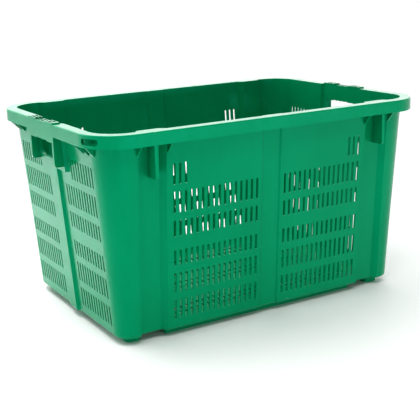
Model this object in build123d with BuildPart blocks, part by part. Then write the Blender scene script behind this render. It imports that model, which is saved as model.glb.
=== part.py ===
"""Vented stack-and-nest plastic crate.

Frame: millimetres, +Z up.  The origin is on the floor, in the middle of the crate.
+X runs along the long side and +Y across it.  The crate is one injection moulding, so every
sub-part here is a named region of that moulding, and neighbours meet face to face.
"""
from build123d import *
import os
from math import cos, hypot, radians, sin, sqrt, tan

os.makedirs("parts", exist_ok=True)
CUT = Mode.SUBTRACT

# ---------------------------------------------------------------- driving dimensions
crate_length = 620      # over the rim skirt
crate_width = 436
rim_z = 338             # top face of the rim
overhang = 16           # how far the skirt stands out from the wall, at the rim
wall = 2.2              # wall thickness
draft = 4               # wall slope, degrees from vertical
wall_radius = 50        # outer corner radius of the wall, at the rim
base_z = 12             # underside of the floor, above the feet
base_edge = 4           # radius round the bottom of the walls

skirt_height = 20
skirt_wall = 2.5
rim_wall = 3            # thickness of the rim's flat top
rim_edge = 2            # rounding of the rim's top edge

channel = (190, 237)    # nest channel on a long side, from x to x
channel_depth = 8
channel_ramps = (3, 9)  # width of its sloping sides: left and right, seen from outside
groove_half = 18        # half width of the shallow groove in the middle of a long side
groove_depth = 2.5
end_rib_half = 18       # half width of the raised band in the middle of an end wall
end_rib_height = 4.5
end_rib_ramp = 4
handle_half = 56        # half width of the raised wall around a hand hole
handle_height = 5
handle_ramp = 4
handle_z = 261          # where that raised wall starts
step_growth = 0.6       # how much wider a step is on the inside, per mm of wall

slot_width = 4.2
slot_pitch = 10
slot_rows = ((29, 61.5), (73.5, 107), (118.5, 144.5), (166.5, 193), (204.5, 239))
top_slot_row = (250, 283.5)
side_columns = (27, 16)     # first column and number of columns of a long panel
side_top_columns = 3        # the top row has only its outermost columns
end_columns = (37, 12)
end_top_columns = 9

hole_half = 42          # hand hole, half width
hole_z = 277.5
hole_radius = 15
lip = 3                 # width of the raised lip around the hand hole
lip_x = 298.5           # outer face of the lip
grip_drop = 10          # how far the grip hangs below the skirt
grip_waves = 4
wave_length = 11
wave_depth = 1.6
cheek = (46, 52)        # cheek plates beside the grip, from |y| to |y|
cheek_z = 269.5
cheek_corner = 5
pad_inner = 20          # stacking pads on the rim reach from here to the cheek plates
pad_height = 2
cell = (4, 16.4)        # open cells in the top of the grip
cell_pitch = (6, 18.4)
cell_floor = 4          # plastic left under the cells

stack_rib = (212.2, 217.8)  # stacking rib in a nest channel, from x to x
stack_rib_z = 266.5
stack_rib_corner = 4
gusset_wall = 2.4
gusset_drop = 17        # how far a gusset reaches below the skirt
side_gussets = (187.5, 238)
end_gussets = (127, 145)
corner_gusset_angle = 13    # degrees round the corner from the end wall
pocket_angle = 23.5     # middle of the slot in a rim corner, degrees from the end
pocket_size = (33, 9.5)
pocket_z = 327.5

rail_half = 187         # long foot rails
rail_y = (154, 162)
foot_x = (227, 255)     # hollow corner feet
foot_y = (126, 162)
foot_radius = 10
foot_wall = 4
foot_web = 3            # plastic left above the hollow of a foot
foot_edge = 1
floor_slot = (4.5, 40)
floor_pitch = (12, 54)
floor_count = (36, 5)
floor_rib = (3, 6)      # width and depth of the ribs under the floor
floor_rib_step = 4      # slots between two cross ribs
floor_rib_count = 10
floor_rib_half = (222, 136)

# ---------------------------------------------------------------- derived sizes
slope = tan(radians(draft))
wall_x = crate_length / 2 - overhang    # outer face of the end wall, at the rim
wall_y = crate_width / 2 - overhang
centre_x = wall_x - wall_radius         # centre of the corner cones
centre_y = wall_y - wall_radius
rim_radius = wall_radius + overhang
skirt_z = rim_z - skirt_height
flange_z = rim_z - rim_wall
grip_z = skirt_z - grip_drop
skirt_x = crate_length / 2 - skirt_wall  # inner face of the skirt
skirt_y = crate_width / 2 - skirt_wall
handle_face = wall_x + handle_height
tray_z = base_z + wall                  # top face of the floor, where the walls start
panel_end = channel[0] - 2              # where a long wall is split beside its channel
hand_frame_z = handle_z - wall          # where an end wall is split under its hand hole
hand_frame_half = handle_half + 2
end_rib_split = end_rib_half + 8
reach = crate_length                    # longer than any cut has to be

outward = {
    "front": Vector(0, -1, 0),
    "back": Vector(0, 1, 0),
    "left": Vector(-1, 0, 0),
    "right": Vector(1, 0, 0),
}


# ---------------------------------------------------------------- helpers
def export(piece, name):
    """Label a finished sub-part and write its STEP file."""
    piece.part.label = name
    export_step(piece.part, f"parts/{name}.step")


def on_side(side, along, out):
    """Plan point `along` a wall and `out` from the middle of the crate."""
    normal = outward[side]
    return (along * abs(normal.Y) + out * normal.X, along * abs(normal.X) + out * normal.Y)


def wall_step(side, start, stop, face, height, ramps, bottom):
    """Solid between a wall face and its raised or recessed stretch from start to stop."""
    overlap = -1 if height > 0 else 1
    outline = (
        (start, face + overlap),
        (start, face),
        (start + ramps[0], face + height),
        (stop - ramps[1], face + height),
        (stop, face),
        (stop, face + overlap),
    )
    inward = outward[side] * -slope
    with BuildPart() as step:
        with BuildSketch(Plane.XY.offset(rim_z)):
            with BuildLine():
                Polyline(*(on_side(side, along, out) for along, out in outline), close=True)
            make_face()
        extrude(amount=(rim_z - bottom) * hypot(1, slope), dir=(inward.X, inward.Y, -1))
    return step.part


def plug(inset, bottom):
    """The outside shape of the crate's walls, shrunk by `inset`, from z = bottom to the rim."""
    grow = inset * step_growth
    with BuildPart() as body:
        with BuildSketch(Plane.XY.offset(rim_z)):
            RectangleRounded(2 * (wall_x - inset), 2 * (wall_y - inset), wall_radius - inset)
        extrude(amount=bottom - rim_z, taper=draft)
        for side in ("front", "back"):
            face = wall_y - inset
            ramps = channel_ramps if side == "front" else channel_ramps[::-1]
            for sign in (1, -1):
                low, high = signed(channel[0] - grow, channel[1] + grow, sign)
                add(wall_step(side, low, high, face, -channel_depth, ramps, bottom), mode=CUT)
            half = groove_half + grow
            ramps = (groove_depth, groove_depth)
            add(wall_step(side, -half, half, face, -groove_depth, ramps, bottom), mode=CUT)
        for side in ("left", "right"):
            face = wall_x - inset
            half = end_rib_half - grow
            ramps = (end_rib_ramp, end_rib_ramp)
            add(wall_step(side, -half, half, face, end_rib_height, ramps, bottom))
            half = handle_half - grow
            ramps = (handle_ramp, handle_ramp)
            add(wall_step(side, -half, half, face, handle_height, ramps, handle_z + inset))
    return body.part


def keep_box(x_range, y_range, z_range):
    """Keep only what lies in this box of the part that is being built."""
    size = [high - low for low, high in (x_range, y_range, z_range)]
    middle = [(high + low) / 2 for low, high in (x_range, y_range, z_range)]
    with Locations(tuple(middle)):
        Box(*size, mode=Mode.INTERSECT)


def signed(low, high, sign):
    """The range low to high, mirrored when sign is -1."""
    return (low, high) if sign > 0 else (-high, -low)


def slot_field(plane, first, count, top_count, sign):
    """Rows of upright slots: five full rows and a top row of the outermost columns."""
    rows = [(row, first, count) for row in slot_rows]
    top_first = first + (count - top_count) * slot_pitch
    rows.append((top_slot_row, top_first, top_count))
    with BuildSketch(plane) as slots:
        for (low, high), column, columns in rows:
            middle = column + (columns - 1) * slot_pitch / 2
            with Locations((sign * middle, (low + high) / 2)):
                with GridLocations(slot_pitch, 1, columns, 1):
                    SlotOverall(high - low, slot_width, rotation=90)
    return slots.sketch


def pocket_cuts():
    """Rounded slots through the skirt at the front left and back right corners."""
    angle = radians(pocket_angle)
    cuts = []
    for sign in (1, -1):
        normal = Vector(-cos(angle), -sin(angle), 0) * sign
        origin = Vector(-centre_x, -centre_y, 0) * sign + normal * rim_radius
        tangent = Vector(0, 0, 1).cross(normal)
        face = Plane(origin=(origin.X, origin.Y, pocket_z), x_dir=tangent, z_dir=normal)
        with BuildPart() as slot:
            with BuildSketch(face):
                SlotOverall(*pocket_size)
            extrude(amount=4 * skirt_wall, both=True)
        cuts.append(slot.part)
    return cuts


# ---------------------------------------------------------------- whole shell and whole rim
outer_plug = plug(0, base_z)
inner_plug = plug(wall, base_z + wall)

with BuildPart() as shell:
    add(outer_plug)
    fillet(shell.edges().group_by(Axis.Z)[0], base_edge)
    add(inner_plug, mode=CUT)

with BuildPart() as rim:
    with BuildSketch(Plane.XY.offset(skirt_z)):
        RectangleRounded(crate_length, crate_width, rim_radius)
    extrude(amount=skirt_height)
    fillet(rim.edges().group_by(Axis.Z)[-1], rim_edge)
    with BuildSketch(Plane.XY.offset(skirt_z)):
        RectangleRounded(2 * skirt_x, 2 * skirt_y, rim_radius - skirt_wall)
    extrude(amount=skirt_height - rim_wall, mode=CUT)
    add(inner_plug, mode=CUT)
    for cut in pocket_cuts():
        add(cut, mode=CUT)


# ---------------------------------------------------------------- bottom
def make_base():
    with BuildPart() as base_tray:
        add(shell.part)
        keep_box((-reach, reach), (-reach, reach), (base_z, tray_z))
        with BuildSketch(Plane.XY.offset(base_z)):
            with GridLocations(*floor_pitch, *floor_count):
                SlotOverall(floor_slot[1], floor_slot[0], rotation=90)
        extrude(amount=wall, mode=CUT)
    export(base_tray, "base_tray")

    rib_z = base_z - floor_rib[1] / 2
    with BuildPart() as base_ribs:
        with Locations((0, 0, rib_z)):
            with GridLocations(1, floor_pitch[1], 1, floor_count[1] + 1):
                Box(2 * floor_rib_half[0], floor_rib[0], floor_rib[1])
            with GridLocations(floor_rib_step * floor_pitch[0], 1, floor_rib_count, 1):
                Box(floor_rib[0], 2 * floor_rib_half[1], floor_rib[1])
    export(base_ribs, "base_ribs")


def make_feet():
    for side in ("front", "back"):
        sign = outward[side].Y
        with BuildPart() as rail:
            with BuildSketch():
                with Locations((0, sign * sum(rail_y) / 2)):
                    SlotOverall(2 * rail_half, rail_y[1] - rail_y[0])
            extrude(amount=base_z)
            fillet(rail.edges().group_by(Axis.Z)[0], foot_edge)
        export(rail, f"foot_rail_{side}")

        for hand in ("left", "right"):
            x_middle = outward[hand].X * sum(foot_x) / 2
            y_middle = sign * sum(foot_y) / 2
            size = (foot_x[1] - foot_x[0], foot_y[1] - foot_y[0])
            with BuildPart() as foot:
                with BuildSketch():
                    with Locations((x_middle, y_middle)):
                        RectangleRounded(*size, foot_radius)
                extrude(amount=base_z)
                fillet(foot.edges().group_by(Axis.Z)[0], foot_edge)
                with BuildSketch():
                    with Locations((x_middle, y_middle)):
                        inside = [length - 2 * foot_wall for length in size]
                        RectangleRounded(*inside, foot_radius - foot_wall)
                extrude(amount=base_z - foot_web, mode=CUT)
            export(foot, f"corner_foot_{side}_{hand}")


# ---------------------------------------------------------------- long walls
def make_long_walls():
    for side in ("front", "back"):
        y_range = signed(centre_y, wall_y, outward[side].Y)
        z_range = (tray_z, flange_z)
        with BuildPart() as band:
            add(shell.part)
            keep_box((-groove_half, groove_half), y_range, z_range)
        export(band, f"{side}_center_band")

        for hand in ("left", "right"):
            sign = outward[hand].X
            with BuildPart() as panel:
                add(shell.part)
                keep_box(signed(groove_half, panel_end, sign), y_range, z_range)
                slots = slot_field(Plane.XZ, *side_columns, side_top_columns, sign)
                extrude(slots, amount=reach, both=True, mode=CUT)
            export(panel, f"{side}_panel_{hand}")

            with BuildPart() as nest_channel:
                add(shell.part)
                keep_box(signed(panel_end, channel[1], sign), y_range, z_range)
            export(nest_channel, f"{side}_nest_channel_{hand}")


def make_corner_columns():
    for side in ("front", "back"):
        for hand in ("left", "right"):
            x_range = signed(channel[1], wall_x, outward[hand].X)
            y_range = signed(centre_y, wall_y, outward[side].Y)
            with BuildPart() as column:
                add(shell.part)
                keep_box(x_range, y_range, (tray_z, flange_z))
            export(column, f"corner_column_{side}_{hand}")


# ---------------------------------------------------------------- end walls
def hand_hole(margin, top):
    """Side view of the hand hole, grown by `margin`, from its rounded bottom up to `top`."""
    low = hole_z - margin
    height = 2 * (top - low)
    with BuildSketch(Plane.YZ) as outline:
        with Locations((0, low + height / 2)):
            RectangleRounded(2 * (hole_half + margin), height, hole_radius + margin)
        with Locations((0, low + height / 4)):
            Rectangle(reach, height / 2, mode=Mode.INTERSECT)
    return outline.sketch


def make_end_walls():
    for hand in ("left", "right"):
        sign = outward[hand].X
        x_range = signed(centre_x, handle_face, sign)
        with BuildPart() as band:
            add(shell.part)
            keep_box(x_range, (-end_rib_split, end_rib_split), (tray_z, hand_frame_z))
        export(band, f"{hand}_end_rib")

        for side in ("front", "back"):
            turn = outward[side].Y
            with BuildPart() as panel:
                add(shell.part)
                keep_box(x_range, signed(end_rib_split, centre_y, turn), (tray_z, flange_z))
                with Locations((sign * wall_x, 0, hand_frame_z + reach / 2)):
                    Box(wall_x, 2 * hand_frame_half, reach, mode=CUT)
                slots = slot_field(Plane.YZ, *end_columns, end_top_columns, turn)
                extrude(slots, amount=reach, both=True, mode=CUT)
            export(panel, f"{hand}_end_panel_{side}")

        with BuildPart() as frame:
            add(shell.part)
            y_range = (-hand_frame_half, hand_frame_half)
            keep_box(x_range, y_range, (hand_frame_z, flange_z))
            extrude(hand_hole(lip, grip_z), amount=sign * lip_x)
            keep_box(x_range, y_range, (hand_frame_z, flange_z))
            add(inner_plug, mode=CUT)
            extrude(hand_hole(0, grip_z), amount=reach, both=True, mode=CUT)
            with Locations((sign * wall_x, 0, grip_z + reach / 2)):
                Box(wall_x, 2 * cheek[0], reach, mode=CUT)
        export(frame, f"{hand}_hand_hole_frame")


# ---------------------------------------------------------------- handles
def grip_side():
    """Side view of a grip: a pad at each end of its top, finger waves along its underside."""
    wave_half = grip_waves * wave_length / 2
    pad_z = rim_z + pad_height
    with BuildSketch(Plane.YZ) as outline:
        with BuildLine():
            Polyline(
                (-wave_half, grip_z),
                (-cheek[0], grip_z),
                (-cheek[0], pad_z),
                (-pad_inner, pad_z),
                (-pad_inner, rim_z),
                (pad_inner, rim_z),
                (pad_inner, pad_z),
                (cheek[0], pad_z),
                (cheek[0], grip_z),
                (wave_half, grip_z),
            )
            for index in range(grip_waves):
                start = index * wave_length - wave_half
                ThreePointArc(
                    (start, grip_z),
                    (start + wave_length / 2, grip_z + wave_depth),
                    (start + wave_length, grip_z),
                )
        make_face()
    return outline.sketch


def make_grip(hand):
    sign = outward[hand].X
    row_middle = (handle_face - wall + crate_length / 2) / 2
    with BuildPart() as grip:
        extrude(grip_side(), amount=sign * crate_length / 2)
        add(inner_plug, mode=CUT)
        with Locations((0, 0, rim_z)):
            Box(2 * (handle_face - wall), reach, 3 * pad_height, mode=CUT)
        with BuildSketch(Plane.XY.offset(grip_z + cell_floor)):
            with Locations((sign * row_middle, 0)):
                with GridLocations(*cell_pitch, 2, 5):
                    Rectangle(*cell)
        extrude(amount=reach, mode=CUT)
    export(grip, f"{hand}_grip")


def make_cheek_plates(hand):
    sign = outward[hand].X
    for side in ("front", "back"):
        y_range = signed(*cheek, outward[side].Y)
        with BuildPart() as plate:
            with BuildSketch(Plane.XZ):
                with Locations((sign * (crate_length / 2 + centre_x) / 2, (cheek_z + flange_z) / 2)):
                    Rectangle(crate_length / 2 - centre_x, flange_z - cheek_z)
            extrude(amount=reach, both=True)
            low_edge = plate.edges().filter_by(Axis.Y).group_by(Axis.Z)[0]
            fillet(low_edge.sort_by(Axis.X)[-1 if sign > 0 else 0], cheek_corner)
            add(outer_plug, mode=CUT)
            top_z = (flange_z + rim_z + pad_height) / 2
            inner_x = handle_face - wall
            with Locations((sign * (inner_x + crate_length / 2) / 2, 0, top_z)):
                Box(crate_length / 2 - inner_x, reach, rim_z + pad_height - flange_z)
            keep_box((-reach, reach), y_range, (cheek_z, reach))
        export(plate, f"{hand}_cheek_plate_{side}")


# ---------------------------------------------------------------- rim
def rim_piece(name, x_range, y_range):
    with BuildPart() as piece:
        add(rim.part)
        keep_box(x_range, y_range, (skirt_z, rim_z))
    export(piece, name)


def make_rim():
    for side in ("front", "back"):
        y_range = signed(centre_y, crate_width / 2, outward[side].Y)
        rim_piece(f"rim_{side}", (-centre_x, centre_x), y_range)
        for hand in ("left", "right"):
            x_range = signed(centre_x, crate_length / 2, outward[hand].X)
            rim_piece(f"rim_corner_{side}_{hand}", x_range, y_range)
            end_range = signed(cheek[1], centre_y, outward[side].Y)
            rim_piece(f"rim_{hand}_{side}", x_range, end_range)


# ---------------------------------------------------------------- ribs under the rim
def gusset_at(origin, normal, wall_reach, skirt_reach):
    """Triangular gusset from a wall to the skirt, in the upright plane through `origin`."""
    wall_low = wall_reach - slope * (rim_z - skirt_z + gusset_drop)
    behind = wall_low - wall_radius / 2
    plane = Plane(origin=origin, x_dir=normal, z_dir=normal.cross(Vector(0, 0, 1)))
    with BuildPart() as web:
        with BuildSketch(plane):
            with BuildLine():
                Polyline(
                    (behind, skirt_z - gusset_drop),
                    (wall_low, skirt_z - gusset_drop),
                    (skirt_reach, skirt_z),
                    (skirt_reach, flange_z),
                    (behind, flange_z),
                    close=True,
                )
            make_face()
        extrude(amount=gusset_wall / 2, both=True)
        add(outer_plug, mode=CUT)
    return web.part


def make_side_ribs():
    for side in ("front", "back"):
        normal = outward[side]
        for hand in ("left", "right"):
            sign = outward[hand].X
            with BuildPart() as gussets:
                for x in side_gussets:
                    add(gusset_at((sign * x, 0, 0), normal, wall_y, skirt_y))
            export(gussets, f"{side}_gussets_{hand}")

            y_range = signed(centre_y, skirt_y, normal.Y)
            with BuildPart() as rib:
                with Locations((0, sum(y_range) / 2, (stack_rib_z + flange_z) / 2)):
                    Box(reach, skirt_y - centre_y, flange_z - stack_rib_z)
                low_edge = rib.edges().filter_by(Axis.X).group_by(Axis.Z)[0]
                fillet(low_edge.sort_by(Axis.Y)[-1 if normal.Y > 0 else 0], stack_rib_corner)
                keep_box(signed(*stack_rib, sign), y_range, (stack_rib_z, flange_z))
                add(outer_plug, mode=CUT)
            export(rib, f"{side}_stacking_rib_{hand}")


def make_end_gussets():
    angle = radians(corner_gusset_angle)
    corner_reach = sqrt((rim_radius - skirt_wall) ** 2 - (gusset_wall / 2) ** 2)
    for side in ("front", "back"):
        turn = outward[side].Y
        for hand in ("left", "right"):
            sign = outward[hand].X
            corner = (sign * centre_x, turn * centre_y, 0)
            diagonal = Vector(sign * cos(angle), turn * sin(angle), 0)
            with BuildPart() as gussets:
                for y in end_gussets:
                    add(gusset_at((0, turn * y, 0), outward[hand], wall_x, skirt_x))
                add(gusset_at(corner, diagonal, wall_radius, corner_reach))
            export(gussets, f"{hand}_end_gussets_{side}")


make_base()
make_feet()
make_long_walls()
make_corner_columns()
make_end_walls()
for hand in ("left", "right"):
    make_grip(hand)
    make_cheek_plates(hand)
make_rim()
make_side_ribs()
make_end_gussets()
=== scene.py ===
"""Studio scene of a green vented stacking crate on a white floor.

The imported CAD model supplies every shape.  This script gives it its moulded plastic
material, and adds the floor, the lights and the camera.  Metres, +Z up.
"""
from math import cos, radians, sin

import bpy
from mathutils import Matrix, Vector


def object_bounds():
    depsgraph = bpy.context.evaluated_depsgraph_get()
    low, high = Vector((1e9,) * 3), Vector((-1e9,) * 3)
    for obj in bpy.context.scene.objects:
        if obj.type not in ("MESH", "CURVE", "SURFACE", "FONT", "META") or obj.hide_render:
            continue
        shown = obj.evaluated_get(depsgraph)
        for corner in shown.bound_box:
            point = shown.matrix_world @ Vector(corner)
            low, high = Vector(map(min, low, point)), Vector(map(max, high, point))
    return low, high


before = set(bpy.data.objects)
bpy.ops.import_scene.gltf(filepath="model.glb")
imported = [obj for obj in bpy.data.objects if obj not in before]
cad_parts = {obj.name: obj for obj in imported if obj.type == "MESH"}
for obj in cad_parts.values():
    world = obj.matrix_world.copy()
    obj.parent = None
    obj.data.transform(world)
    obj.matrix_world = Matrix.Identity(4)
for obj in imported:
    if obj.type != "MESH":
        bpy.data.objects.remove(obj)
cad_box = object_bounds()

PLASTIC_DEEP = (0.0, 0.225, 0.092, 1)
PLASTIC_PALE = (0.0, 0.275, 0.118, 1)
PLASTIC_WORN = (0.16, 0.50, 0.34, 1)
SPECULAR_TINT = (0.05, 1.0, 0.75, 1)
ROUGHNESS = (0.12, 0.22)        # of smooth and of scuffed plastic
DRAGGED_ROUGHNESS = 0.10        # added by the drag marks
RUBBED_ROUGHNESS = 0.25         # added where the plastic is worn
LOW_WEAR = (0.030, 0.004)       # heights between which the wear near the feet grows
RIM_WEAR = (0.006, 0.002)       # depths below the top between which the wear on the rim grows

FLOOR = (0.90, 0.90, 0.90, 1)
FLOOR_SIZE = 30
WORLD_FRONT = 0.20      # brightness of the surroundings in front of the crate
WORLD_BEHIND = 1.62     # and behind it
LIGHTS = (              # name, place, target, size, watts and spread in degrees
    ("key", (-0.5, -1.2, 2.4), (0, 0, 0.1), (1.8, 1.0), 22, 180),
    ("low_fill", (0.1, -1.6, 0.25), (0, -0.2, 0.02), (2.2, 0.3), 5, 150),
    ("behind", (-0.75, 0.7, 1.5), (-0.7, 0.65, 0), (1.5, 1.5), 7, 60),
)

CAMERA_PLACE = (-0.8030, -1.3669, 0.5622)
CAMERA_YAW = 30.372     # degrees from +Y towards +X
CAMERA_PITCH = -14.905
CAMERA_ROLL = -1.823
CAMERA_LENS = 77.66


# ---------------------------------------------------------------- node helpers
class Material:
    """A node material being built."""

    def __init__(self, name):
        self.data = bpy.data.materials.new(name)
        self.data.use_nodes = True
        self.nodes = self.data.node_tree.nodes
        self.links = self.data.node_tree.links
        self.shader = self.nodes["Principled BSDF"]
        self.place = self.nodes.new("ShaderNodeTexCoord").outputs["Object"]

    def stretched(self, scale):
        """Object coordinates multiplied by `scale`."""
        mapping = self.nodes.new("ShaderNodeMapping")
        mapping.inputs["Scale"].default_value = scale
        self.links.new(self.place, mapping.inputs["Vector"])
        return mapping.outputs["Vector"]

    def noise(self, place, scale, detail, roughness=0.5):
        """Noise from 0 to 1, with `scale` waves to the metre."""
        texture = self.nodes.new("ShaderNodeTexNoise")
        texture.inputs["Scale"].default_value = scale
        texture.inputs["Detail"].default_value = detail
        texture.inputs["Roughness"].default_value = roughness
        self.links.new(place, texture.inputs["Vector"])
        return texture.outputs["Fac"]

    def remap(self, value, from_range, to_range):
        """The value moved from one range to the other, and held inside it."""
        mapped = self.nodes.new("ShaderNodeMapRange")
        mapped.inputs["From Min"].default_value = from_range[0]
        mapped.inputs["From Max"].default_value = from_range[1]
        mapped.inputs["To Min"].default_value = to_range[0]
        mapped.inputs["To Max"].default_value = to_range[1]
        self.links.new(value, mapped.inputs["Value"])
        return mapped.outputs["Result"]

    def math(self, operation, first, second):
        """Sum, product or larger of two values; each is a number or a node's output."""
        node = self.nodes.new("ShaderNodeMath")
        node.operation = operation
        for value, socket in zip((first, second), node.inputs):
            if isinstance(value, (int, float)):
                socket.default_value = value
            else:
                self.links.new(value, socket)
        return node.outputs["Value"]

    def mix(self, factor, first, second):
        """Colour between `first` and `second`; each is a colour or a node's output."""
        node = self.nodes.new("ShaderNodeMix")
        node.data_type = "RGBA"
        self.links.new(factor, node.inputs["Factor"])
        sockets = [socket for socket in node.inputs if socket.type == "RGBA"]
        for value, socket in zip((first, second), sockets):
            if isinstance(value, tuple):
                socket.default_value = value
            else:
                self.links.new(value, socket)
        return next(socket for socket in node.outputs if socket.type == "RGBA")

    def bump(self, height, depth, strength, below=None):
        """Normals bumped by `height` times `depth` metres, on top of the bump `below`."""
        node = self.nodes.new("ShaderNodeBump")
        node.inputs["Strength"].default_value = strength
        node.inputs["Distance"].default_value = depth
        self.links.new(height, node.inputs["Height"])
        if below is not None:
            self.links.new(below, node.inputs["Normal"])
        return node.outputs["Normal"]


# ---------------------------------------------------------------- materials
def wear_mask(plastic, height):
    """Where the plastic is rubbed, in small marks: by the feet and on top of the rim.

    `height` is the top of the crate.
    """
    parts = plastic.nodes.new("ShaderNodeSeparateXYZ")
    plastic.links.new(plastic.place, parts.inputs["Vector"])
    rim_wear = tuple(height - depth for depth in RIM_WEAR)
    low = plastic.remap(parts.outputs["Z"], LOW_WEAR, (0, 0.7))
    high = plastic.remap(parts.outputs["Z"], rim_wear, (0, 0.6))
    marks = plastic.noise(plastic.place, 210, 4, 0.6)
    spots = plastic.remap(marks, (0.63, 0.70), (0, 1))
    return plastic.math("MULTIPLY", plastic.math("MAXIMUM", low, high), spots)


def moulded_plastic(height):
    """Glossy polyethylene: flow marks, drag marks up the walls, wavy skin, scuffs and nicks."""
    plastic = Material("moulded_plastic")
    shader, links = plastic.shader, plastic.links
    wear = wear_mask(plastic, height)

    flow = plastic.remap(plastic.noise(plastic.place, 7, 3), (0.3, 0.7), (0, 0.65))
    streaks = plastic.noise(plastic.stretched((1, 1, 0.05)), 110, 3, 0.6)
    shade = plastic.math("ADD", flow, plastic.math("MULTIPLY", streaks, 0.35))
    clean = plastic.mix(shade, PLASTIC_DEEP, PLASTIC_PALE)
    links.new(plastic.mix(wear, clean, PLASTIC_WORN), shader.inputs["Base Color"])

    scuffs = plastic.noise(plastic.place, 60, 6, 0.7)
    gloss = plastic.remap(scuffs, (0.35, 0.75), ROUGHNESS)
    dragged = plastic.remap(streaks, (0.45, 0.75), (0, DRAGGED_ROUGHNESS))
    rubbed = plastic.math("MULTIPLY", wear, RUBBED_ROUGHNESS)
    rough = plastic.math("ADD", plastic.math("ADD", gloss, dragged), rubbed)
    links.new(rough, shader.inputs["Roughness"])

    waves = plastic.noise(plastic.stretched((1, 1, 0.5)), 16, 1)
    grain = plastic.noise(plastic.place, 900, 2)
    wavy = plastic.bump(waves, 0.0020, 0.20)
    streaky = plastic.bump(streaks, 0.0004, 0.20, wavy)
    fine = plastic.bump(grain, 0.0002, 0.06, streaky)
    links.new(fine, shader.inputs["Normal"])

    shader.inputs["IOR"].default_value = 1.52
    shader.inputs["Specular IOR Level"].default_value = 0.4
    shader.inputs["Specular Tint"].default_value = SPECULAR_TINT
    shader.inputs["Subsurface Weight"].default_value = 0.05
    shader.inputs["Subsurface Scale"].default_value = 0.002
    return plastic.data


def floor_material():
    """Plain matt white studio floor."""
    floor = Material("studio_floor")
    floor.shader.inputs["Base Color"].default_value = FLOOR
    floor.shader.inputs["Roughness"].default_value = 0.6
    return floor.data


# ---------------------------------------------------------------- the crate
plastic_material = moulded_plastic(cad_box[1][2])
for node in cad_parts.values():
    node.data.materials.clear()
    node.data.materials.append(plastic_material)


# ---------------------------------------------------------------- floor and light
bpy.ops.mesh.primitive_plane_add(size=FLOOR_SIZE)
studio_floor = bpy.context.object
studio_floor.name = "studio_floor"
studio_floor.data.materials.append(floor_material())


def studio_world():
    """White surroundings, bright behind the crate and dimmer in front of it."""
    world = bpy.data.worlds.new("studio")
    world.use_nodes = True
    nodes, links = world.node_tree.nodes, world.node_tree.links
    direction = nodes.new("ShaderNodeTexCoord").outputs["Generated"]
    parts = nodes.new("ShaderNodeSeparateXYZ")
    strength = nodes.new("ShaderNodeMapRange")
    strength.interpolation_type = "SMOOTHSTEP"
    strength.inputs["From Min"].default_value = -0.6
    strength.inputs["From Max"].default_value = 0.8
    strength.inputs["To Min"].default_value = WORLD_FRONT
    strength.inputs["To Max"].default_value = WORLD_BEHIND
    links.new(direction, parts.inputs["Vector"])
    links.new(parts.outputs["Y"], strength.inputs["Value"])
    links.new(strength.outputs["Result"], nodes["Background"].inputs["Strength"])
    nodes["Background"].inputs["Color"].default_value = (1, 1, 1, 1)
    return world


def area_light(name, place, target, size, power, spread):
    """Rectangular lamp at `place` that faces `target`."""
    light = bpy.data.lights.new(name, "AREA")
    light.shape = "RECTANGLE"
    light.size, light.size_y = size
    light.energy = power
    light.spread = radians(spread)
    lamp = bpy.data.objects.new(name, light)
    lamp.location = place
    lamp.rotation_euler = (Vector(target) - Vector(place)).to_track_quat("-Z", "Y").to_euler()
    bpy.context.collection.objects.link(lamp)


bpy.context.scene.world = studio_world()
bpy.context.scene.view_settings.view_transform = "Standard"
bpy.context.scene.view_settings.look = "Medium High Contrast"
for settings in LIGHTS:
    area_light(*settings)


# ---------------------------------------------------------------- camera
def add_camera():
    """Camera turned by the yaw, then the pitch, then rolled about its own line of sight."""
    yaw, pitch, roll = (radians(angle) for angle in (CAMERA_YAW, CAMERA_PITCH, CAMERA_ROLL))
    ahead = Vector((sin(yaw) * cos(pitch), cos(yaw) * cos(pitch), sin(pitch)))
    level = Vector((cos(yaw), -sin(yaw), 0))
    upright = level.cross(ahead)
    right = level * cos(roll) + upright * sin(roll)
    above = upright * cos(roll) - level * sin(roll)
    camera = bpy.data.objects.new("camera", bpy.data.cameras.new("camera"))
    camera.data.lens = CAMERA_LENS
    camera.data.sensor_width = 36
    turn = Matrix((right, above, -ahead)).transposed().to_4x4()
    camera.matrix_world = Matrix.Translation(CAMERA_PLACE) @ turn
    bpy.context.collection.objects.link(camera)
    bpy.context.scene.camera = camera


add_camera()
